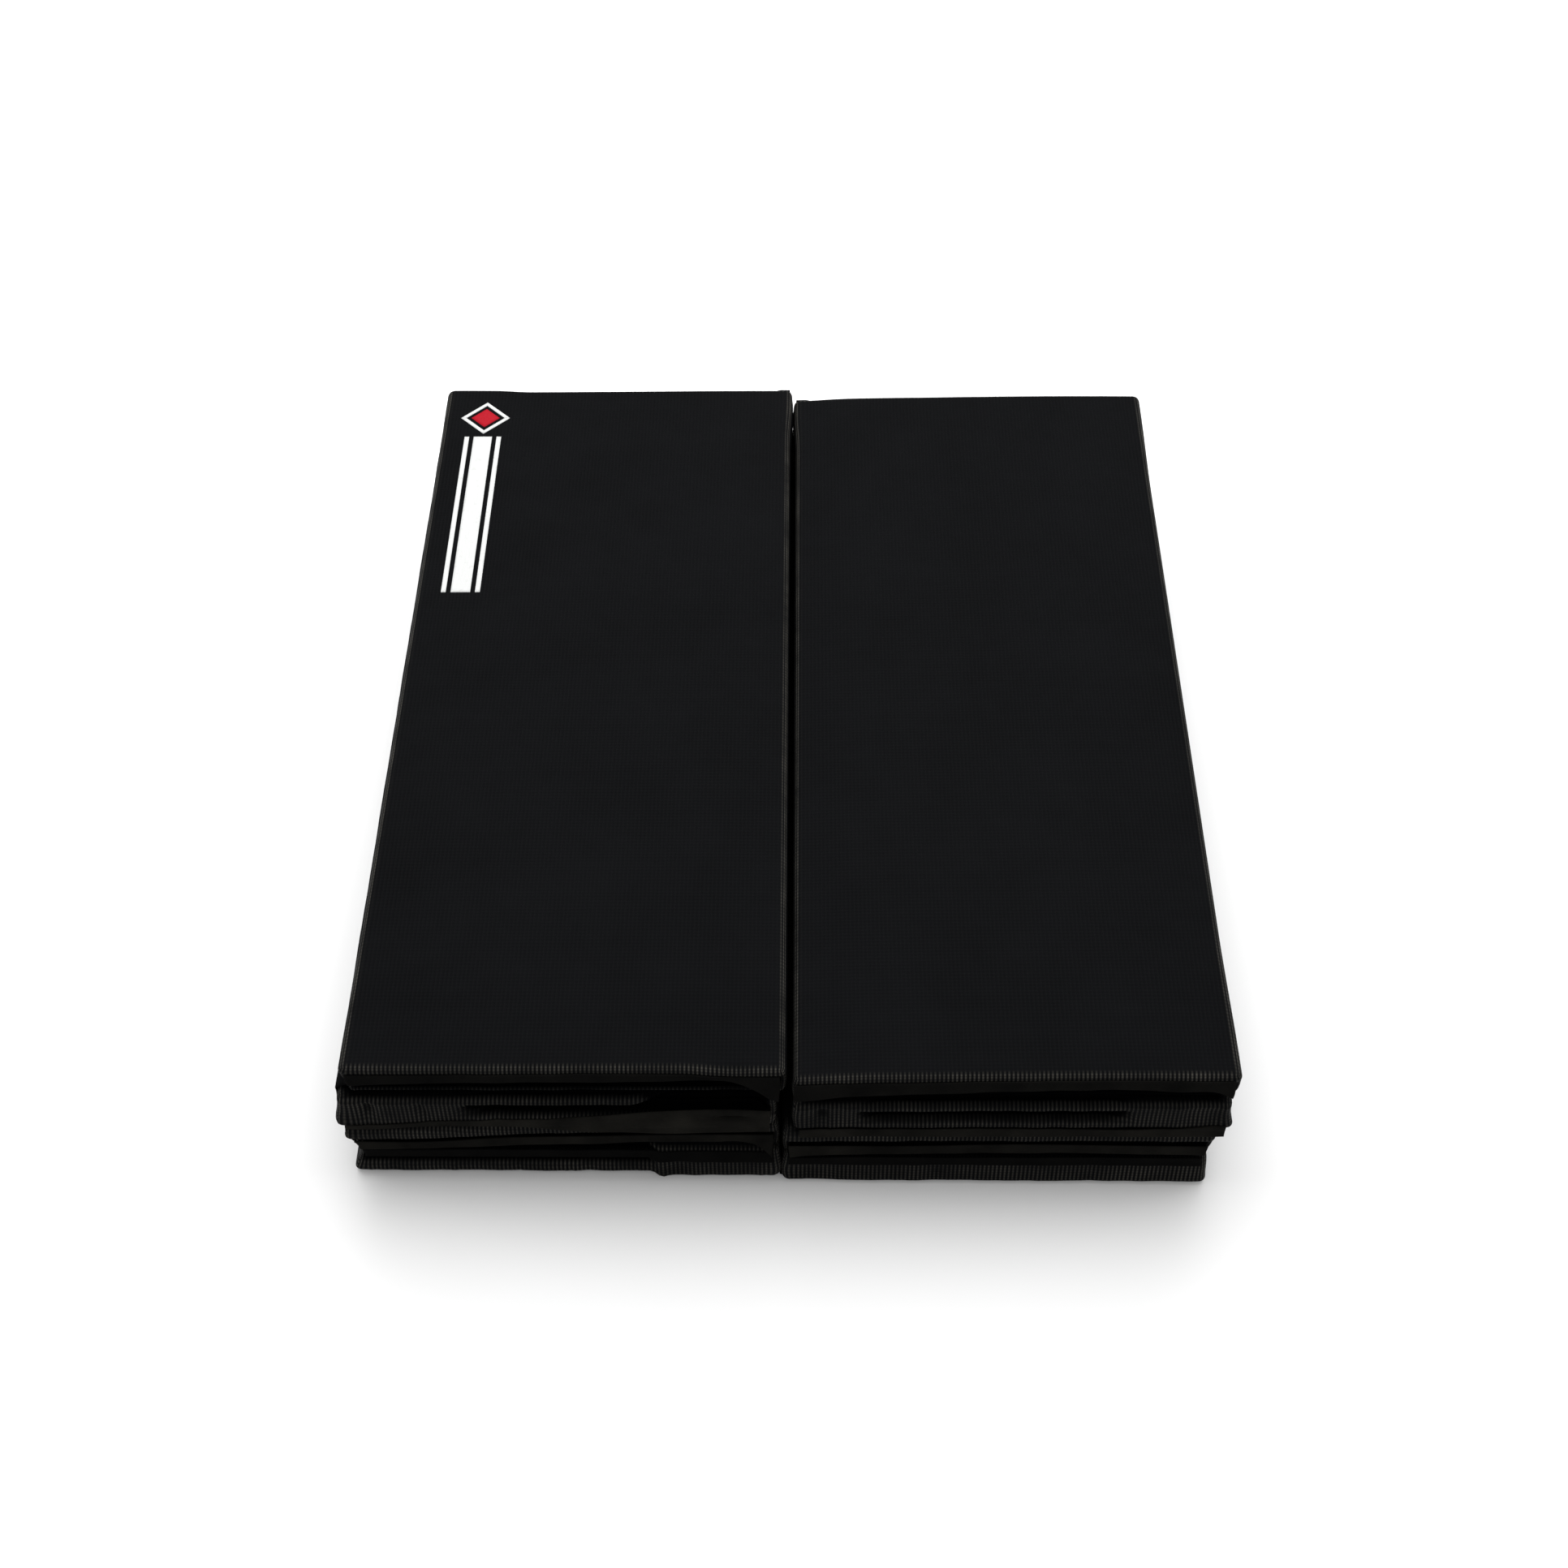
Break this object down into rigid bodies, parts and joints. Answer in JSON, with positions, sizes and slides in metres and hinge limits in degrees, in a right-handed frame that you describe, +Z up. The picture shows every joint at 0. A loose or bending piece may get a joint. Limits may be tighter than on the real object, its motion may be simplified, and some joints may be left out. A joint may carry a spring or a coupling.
{
  "type": "folding gym mat",
  "caption": "Accordion-fold gym mat of foam panels in black vinyl covers, opened at its middle fold into two flat stacks that lie side by side, hinged by fabric webs.",
  "frame": {"origin": "on the floor, under the middle of the folded mat", "axes": "+Z up, +Y along the folds towards the end with the printed mark, +X across the folds to the right"},
  "size_m": [0.78, 0.9242, 0.1643],
  "materials": {
    "vinyl": "satin black vinyl-coated polyester with a fine square scrim weave that shows through",
    "hem": "smooth satin black vinyl, folded and stitched",
    "web": "satin black vinyl-coated polyester webbing",
    "foam": "closed-cell polyethylene foam, matt light grey",
    "print_white": "white screen-printed ink, semi-matt",
    "print_red": "red screen-printed ink, semi-matt"
  },
  "bodies": {
    "panel_1": {"foam_core_1": "foam", "back_cover_1": "vinyl", "face_cover_1": "vinyl", "end_hems_1": "hem", "print_stripes": "print_white", "print_frame": "print_white", "print_diamond": "print_red"},
    "panel_2": {"foam_core_2": "foam", "back_cover_2": "vinyl", "face_cover_2": "vinyl", "end_hems_2": "hem", "fold_web_12": "web"},
    "panel_3": {"foam_core_3": "foam", "back_cover_3": "vinyl", "face_cover_3": "vinyl", "end_hems_3": "hem", "fold_web_23": "web"},
    "panel_4": {"foam_core_4": "foam", "back_cover_4": "vinyl", "face_cover_4": "vinyl", "end_hems_4": "hem", "fold_web_34": "web", "fold_web_45": "web"},
    "panel_5": {"foam_core_5": "foam", "back_cover_5": "vinyl", "face_cover_5": "vinyl", "end_hems_5": "hem", "fold_web_56": "web"},
    "panel_6": {"foam_core_6": "foam", "back_cover_6": "vinyl", "face_cover_6": "vinyl", "end_hems_6": "hem", "fold_web_67": "web"},
    "panel_7": {"foam_core_7": "foam", "back_cover_7": "vinyl", "face_cover_7": "vinyl", "end_hems_7": "hem", "fold_web_78": "web"},
    "panel_8": {"foam_core_8": "foam", "back_cover_8": "vinyl", "face_cover_8": "vinyl", "end_hems_8": "hem"}
  },
  "joints": [
    {"name": "fold_34", "type": "hinge", "parent": "panel_4", "child": "panel_3", "pos_m": [-0.38745, 0, 0.0408], "axis": [0, -1, 0], "range_deg": [0, 180], "deforming": ["fold_web_34"]},
    {"name": "fold_23", "type": "hinge", "parent": "panel_3", "child": "panel_2", "pos_m": [-0.00405, 0, 0.082], "axis": [0, 1, 0], "range_deg": [0, 180], "deforming": ["fold_web_23"]},
    {"name": "fold_12", "type": "hinge", "parent": "panel_2", "child": "panel_1", "pos_m": [-0.38995, 0, 0.1232], "axis": [0, -1, 0], "range_deg": [0, 180], "deforming": ["fold_web_12"]},
    {"name": "fold_45", "type": "hinge", "parent": "panel_4", "child": "panel_5", "pos_m": [-0.00275, 0, -0.00025], "axis": [0, -1, 0], "range_deg": [-180, 0], "deforming": ["fold_web_45"]},
    {"name": "fold_56", "type": "hinge", "parent": "panel_5", "child": "panel_6", "pos_m": [0.38145, 0, 0.0408], "axis": [0, 1, 0], "range_deg": [0, 180], "deforming": ["fold_web_56"]},
    {"name": "fold_67", "type": "hinge", "parent": "panel_6", "child": "panel_7", "pos_m": [-0.00195, 0, 0.082], "axis": [0, -1, 0], "range_deg": [0, 180], "deforming": ["fold_web_67"]},
    {"name": "fold_78", "type": "hinge", "parent": "panel_7", "child": "panel_8", "pos_m": [0.38995, 0, 0.1232], "axis": [0, 1, 0], "range_deg": [0, 180], "deforming": ["fold_web_78"]}
  ],
  "couplings": [
    {"joint": "fold_23", "follows": "fold_34", "ratio": 1},
    {"joint": "fold_67", "follows": "fold_56", "ratio": 1}
  ]
}
